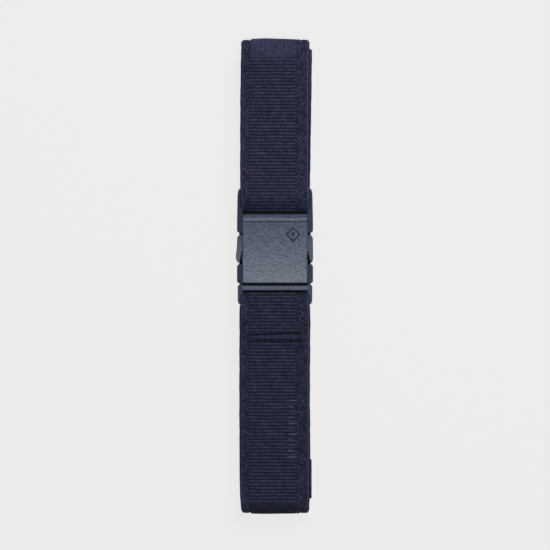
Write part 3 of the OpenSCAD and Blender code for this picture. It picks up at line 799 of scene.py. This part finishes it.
def face_plate():
    """The crowned face plate with its grooves and its cut badge, closed underneath."""
    edge, front = plate_high[0], MOUTH_Y + PLATE_SET_BACK
    step, fine, reach = 0.45, 0.1, BADGE_R + 0.3
    xs = np.concatenate([
        spaced(-edge, edge, step, BADGE[0] - reach, BADGE[0] + reach, fine),
        [-edge + 0.06, -edge + 0.14, edge - 0.14, edge - 0.06],
    ])
    ys = np.concatenate([
        spaced(front, PLATE_END_Y, step, BADGE[1] - reach, BADGE[1] + reach, fine),
        front + np.array([0.05, 0.1, 0.16, 0.22]),
        np.arange(GROOVE_Y - 0.6, GROOVE_Y + 0.6, 0.08),
        np.arange(RIDGE_Y - 0.4, PLATE_END_Y, 0.12),
    ])
    x, y = np.meshgrid(np.unique(xs), np.unique(ys), indexing="ij")
    cut = badge_cut(x, y)
    top = np.stack([x, y, plate_height(x, y) - BADGE_DEPTH * cut], axis=-1).reshape(-1, 3)
    rim = grid_rim(*x.shape)
    below = top[rim]
    below[:, 2] = plate_low[2]
    low = len(top) + np.arange(len(rim))
    walls = np.stack([rim, np.roll(rim, -1), np.roll(low, -1), low], axis=-1)
    faces = np.concatenate([grid_quads(*x.shape), walls])
    shade = uv_pair(np.concatenate([plate_shade(x, y, cut).ravel(), np.ones(len(rim))]))
    made = grid_mesh("face_plate", np.concatenate([top, below]), faces, [low], PLATE, {"shade": shade})
    split_edges(made, 50)
    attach(made, "socket_side")
    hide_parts("socket_face_plate")


def split_edges(made, degrees):
    """Marks edges sharper than this many degrees, so that they keep a crisp line."""
    solid = bmesh.new()
    solid.from_mesh(made.data)
    bmesh.ops.recalc_face_normals(solid, faces=solid.faces)
    for edge in solid.edges:
        edge.smooth = edge.calc_face_angle(0) < math.radians(degrees)
    solid.to_mesh(made.data)
    solid.free()


face_plate()


# ---- Latches ----

prong_low, prong_high = box_mm("latch_prong_right")


def filleted(points, radii, steps=5):
    """An outline with each corner rounded by its own radius."""
    out = []
    for i, (p, r) in enumerate(zip(points, radii)):
        p = np.array(p)
        a = np.array(points[i - 1]) - p
        b = np.array(points[(i + 1) % len(points)]) - p
        la, lb = np.linalg.norm(a), np.linalg.norm(b)
        a, b = a / la, b / lb
        half = math.acos(np.clip(a @ b, -1, 1)) / 2
        cut = min(r / math.tan(half), 0.45 * la, 0.45 * lb) if r else 0
        if cut < 0.02:
            out.append(p)
            continue
        for t in np.linspace(0, 1, steps + 1):
            out.append((1 - t) ** 2 * (p + a * cut) + 2 * t * (1 - t) * p + t * t * (p + b * cut))
    return np.array(out)


def latch(side, name, node, lobe):
    """A springy prong with its finger pad. The pad's corner stands out by lobe."""
    edge = prong_high[0]
    root, tip = prong_low[1], prong_high[1]
    points = [
        (13.8, root), (16.2, root), (16.7, root + 10.4), (17.6, root + 17.1),
        (18.5, root + 15.0), (edge - 1.4, root + 9.6), (edge - 0.6, root + 8.8),
        (edge + lobe, root + 11.0), (edge + lobe, root + 13.6), (edge + lobe / 4, root + 16.6),
        (edge - 0.05, tip - 2.8), (edge - 0.7, tip - 1.6), (edge - 2.6, tip - 0.6),
        (15.6, tip), (14.6, tip - 1.2), (14.3, root + 13.4),
    ]
    radii = [0, 0, 4, 0.3, 2.5, 0.6, 0.5, 1.6, 1.2, 2, 1.2, 1.2, 1.2, 0.6, 0.6, 4]
    outline = filleted(points, radii) * np.array([side, 1])
    if side < 0:
        outline = outline[::-1]
    solid = bmesh.new()
    low = [solid.verts.new((x * MM, y * MM, prong_low[2] * MM)) for x, y in outline]
    face_below = solid.faces.new(low[::-1])
    grown = bmesh.ops.extrude_face_region(solid, geom=[face_below])
    top = [v for v in grown["geom"] if isinstance(v, bmesh.types.BMVert)]
    bmesh.ops.translate(solid, verts=top, vec=(0, 0, (prong_high[2] - prong_low[2]) * MM))
    bmesh.ops.recalc_face_normals(solid, faces=solid.faces)
    rims = [e for e in solid.edges if abs(e.verts[0].co.z - e.verts[1].co.z) < 1e-7]
    bmesh.ops.bevel(solid, geom=rims, offset=0.35 * MM, segments=3, profile=0.6, affect="EDGES")
    mesh = bpy.data.meshes.new(name)
    solid.to_mesh(mesh)
    solid.free()
    mesh.polygons.foreach_set("use_smooth", [True] * len(mesh.polygons))
    mesh.materials.append(LATCH)
    made = add_object(name, mesh)
    split_edges(made, 35)
    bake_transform(made)
    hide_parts(node)


latch(-1, "latch_left_spring", "latch_prong_left", 0.6)
latch(1, "latch_right_spring", "latch_prong_right", 0.06)


# ---- Buckle and adjuster ----

def moulded(node, edge, material):
    """Gives a CAD node softened edges and its plastic."""
    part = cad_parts[node]
    part.data.materials.clear()
    part.data.materials.append(material)
    weld = part.modifiers.new("weld", "WELD")
    weld.merge_threshold = 2e-6
    soften = part.modifiers.new("soften", "BEVEL")
    soften.width = edge * MM
    soften.segments = 2
    soften.limit_method = "ANGLE"
    soften.angle_limit = math.radians(25)
    soften.harden_normals = False
    part.modifiers.new("shade", "WEIGHTED_NORMAL")


for cad_node, soft_edge, plastic in (
    ("socket_base_shell", 0.3, SHELL),
    ("socket_strap_bar", 0.1, SHELL),
    ("plug_frame", 0.1, FRAME),
    ("plug_strap_bar", 0.1, SHELL),
    ("plug_guide_tongue", 0.3, SHELL),
    ("adjuster_frame", 0.15, ADJUSTER),
    ("adjuster_centre_bar", 0.1, ADJUSTER),
):
    moulded(cad_node, soft_edge, plastic)


# ---- Thread and print ----

def threads(name, runs, radius):
    """Thin tubes of thread along lists of points in mm, as one mesh."""
    curve = bpy.data.curves.new(name, "CURVE")
    curve.dimensions = "3D"
    curve.bevel_depth = radius * MM
    curve.bevel_resolution = 2
    curve.use_fill_caps = True
    for points in runs:
        spline = curve.splines.new("POLY")
        spline.points.add(len(points) - 1)
        for spot, p in zip(spline.points, points):
            spot.co = (p[0] * MM, p[1] * MM, p[2] * MM, 1)
    holder = bpy.data.objects.new(name, curve)
    mesh = bpy.data.meshes.new_from_object(holder)
    bpy.data.objects.remove(holder)
    mesh.name = name
    mesh.materials.clear()
    mesh.materials.append(THREAD)
    return add_object(name, mesh)


def straight_row(x0, x1, y0, tilt, z, pitch):
    """Lockstitches along X, each a low arch that dives into the cloth at its ends."""
    runs = []
    for x in np.arange(x0, x1, pitch):
        t = np.linspace(0, 1, 9)
        xs = x + t * pitch * 0.88
        runs.append([(a, y0 + tilt * a, z + 0.28 * math.sin(math.pi * u) - 0.2) for a, u in zip(xs, t)])
    return runs


def bar_row(x0, x1, y, half, z, pitch):
    """A close row of upright stitches, each tilted and sunk by its own small amount."""
    runs = []
    for i, x in enumerate(np.arange(x0, x1, pitch)):
        lean, sink = 0.14 * math.sin(2.3 * i), 0.08 * math.sin(1.7 * i + 1)
        x = x + 0.16 * math.sin(3.9 * i)
        ends = half * (1 + 0.12 * math.sin(5.1 * i))
        runs.append([
            (x + lean * t, y + ends * t, z + sink + 0.3 * math.cos(math.pi * t / 2) - 0.22)
            for t in np.linspace(-1, 1, 9)
        ])
    return runs


face_z = seam_low[2]
plug_rows = straight_row(SEAM_LEFT, 13.3, SEAM_ROW_1, SEAM_TILT, face_z - 0.3, 2.3)
plug_rows += bar_row(SEAM_LEFT, SEAM_RIGHT - 0.6, SEAM_ROW_2, 1.1, face_z - 0.06, 1.42)
plug_seam = threads("plug_seam_thread", plug_rows, 0.27)
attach(plug_seam, "plug_side")
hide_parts("plug_seam_stitches")

join_low, join_high = box_mm("adjuster_seam_stitches")
join_rows = []
for row_y in (join_low[1] + 0.25, join_high[1] - 0.25):
    join_rows += straight_row(join_low[0], join_high[0], row_y, 0, join_low[2] - 0.05, 2.5)
adjuster_seam = threads("adjuster_seam_thread", join_rows, 0.17)
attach(adjuster_seam, "adjuster")
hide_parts("adjuster_seam_stitches")


def printed_marks():
    """Plain long and short marks that follow the ribs, on the lower front."""
    low, high = box_mm("printed_ticks")
    count, width, short = 11, 0.8, 2.6
    clear, film = 0.012, 0.025
    vertices, quads, shades = [], [], []
    for i in range(count):
        length = short if i % 2 else high[0] - low[0]
        y0 = low[1] + i * (high[1] - low[1] - width) / (count - 1)
        xs, ys = np.linspace(low[0], low[0] + length, 17), np.linspace(y0, y0 + width, 13)
        x, y = np.meshgrid(xs, ys, indexing="ij")
        s = s_on_front(y)
        middle = np.interp(s, PATH["s"], PATH["x"])
        half = np.interp(s, PATH["s"], PATH["half"])
        height, shade = face((x - middle) * HALF_W / half, s, y, np.zeros_like(s), False)
        for lift in (clear, clear + film):
            vertices.append(np.stack([x, y, FRONT_Z + height + lift], axis=-1).reshape(-1, 3))
        # The print takes the weave's painted shade
        shades.append(np.tile(0.25 + 0.75 * shade.ravel(), 2))
        over, rim, start = grid_quads(*x.shape), grid_rim(*x.shape), 2 * i * x.size
        walls = np.stack([rim, rim + x.size, np.roll(rim, -1) + x.size, np.roll(rim, -1)], axis=-1)
        quads += [over[:, ::-1] + start, over + start + x.size, walls + start]
    made = grid_mesh(
        "printed_marks", np.concatenate(vertices), np.concatenate(quads), [], PRINT,
        {"shade": uv_pair(np.concatenate(shades))},
    )
    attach(made, "plug_side")
    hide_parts("printed_ticks")


printed_marks()


# ---- Studio ----

FLOOR_GLOW = 0.855
FLOOR_GLOW_SHARE = 0.88
FLOOR_HALF = 4.0
SKY = 0.12
COOL_WHITE = (0.96, 0.98, 1.0)


def studio():
    """A pale floor that glows a little, and a dim even sky."""
    n = Nodes("pale_floor")
    diffuse = n.add("ShaderNodeBsdfDiffuse", {"Color": colour(0.84, 0.84, 0.84)})
    glow = n.add("ShaderNodeEmission", {"Color": colour(1, 1, 1), "Strength": FLOOR_GLOW})
    links = {0: FLOOR_GLOW_SHARE, 1: diffuse.outputs[0], 2: glow.outputs[0]}
    blend = n.add("ShaderNodeMixShader", links)
    n.add("ShaderNodeOutputMaterial", {"Surface": blend.outputs[0]})
    mesh = bpy.data.meshes.new("floor")
    corners = [(FLOOR_HALF * x, FLOOR_HALF * y, 0) for x, y in ((-1, -1), (1, -1), (1, 1), (-1, 1))]
    mesh.from_pydata(corners, [], [(0, 1, 2, 3)])
    mesh.materials.append(n.material)
    floor = add_object("floor", mesh)

    world = bpy.data.worlds.new("studio")
    world.use_nodes = True
    world.node_tree.nodes["Background"].inputs[0].default_value = colour(1, 1, 1)
    world.node_tree.nodes["Background"].inputs[1].default_value = SKY
    bpy.context.scene.world = world


def softbox(name, tilt, turn, distance, width, height, power):
    """A rectangular light, tilted in degrees from straight above and turned from +Y towards +X."""
    light = bpy.data.lights.new(name, "AREA")
    light.shape = "RECTANGLE"
    light.size = width
    light.size_y = height
    light.energy = power
    light.color = COOL_WHITE
    lean, way = math.radians(tilt), math.radians(turn)
    aside = math.sin(lean)
    place = Vector((aside * math.sin(way), aside * math.cos(way), math.cos(lean))) * distance
    made = add_object(name, light)
    made.location = place
    made.rotation_mode = "QUATERNION"
    made.rotation_quaternion = (-place).to_track_quat("-Z", "Y")


def camera():
    """Straight down over the buckle, as wide as the picture shows at the height of the webbing's face."""
    distance, view_width, aim_y = 3.0, 0.3069, 0.0003
    data = bpy.data.cameras.new("camera")
    data.sensor_width = 36
    data.lens = data.sensor_width * (distance - front_high[2] * MM) / view_width
    made = add_object("camera", data)
    made.location = (0, aim_y, distance)
    bpy.context.scene.camera = made


studio()
softbox("key", 48, 24, 1.8, 1.2, 0.6, 20)
softbox("sheen", 12, 186, 1.8, 0.36, 0.36, 12.5)
camera()
bpy.context.scene.view_settings.view_transform = "Standard"
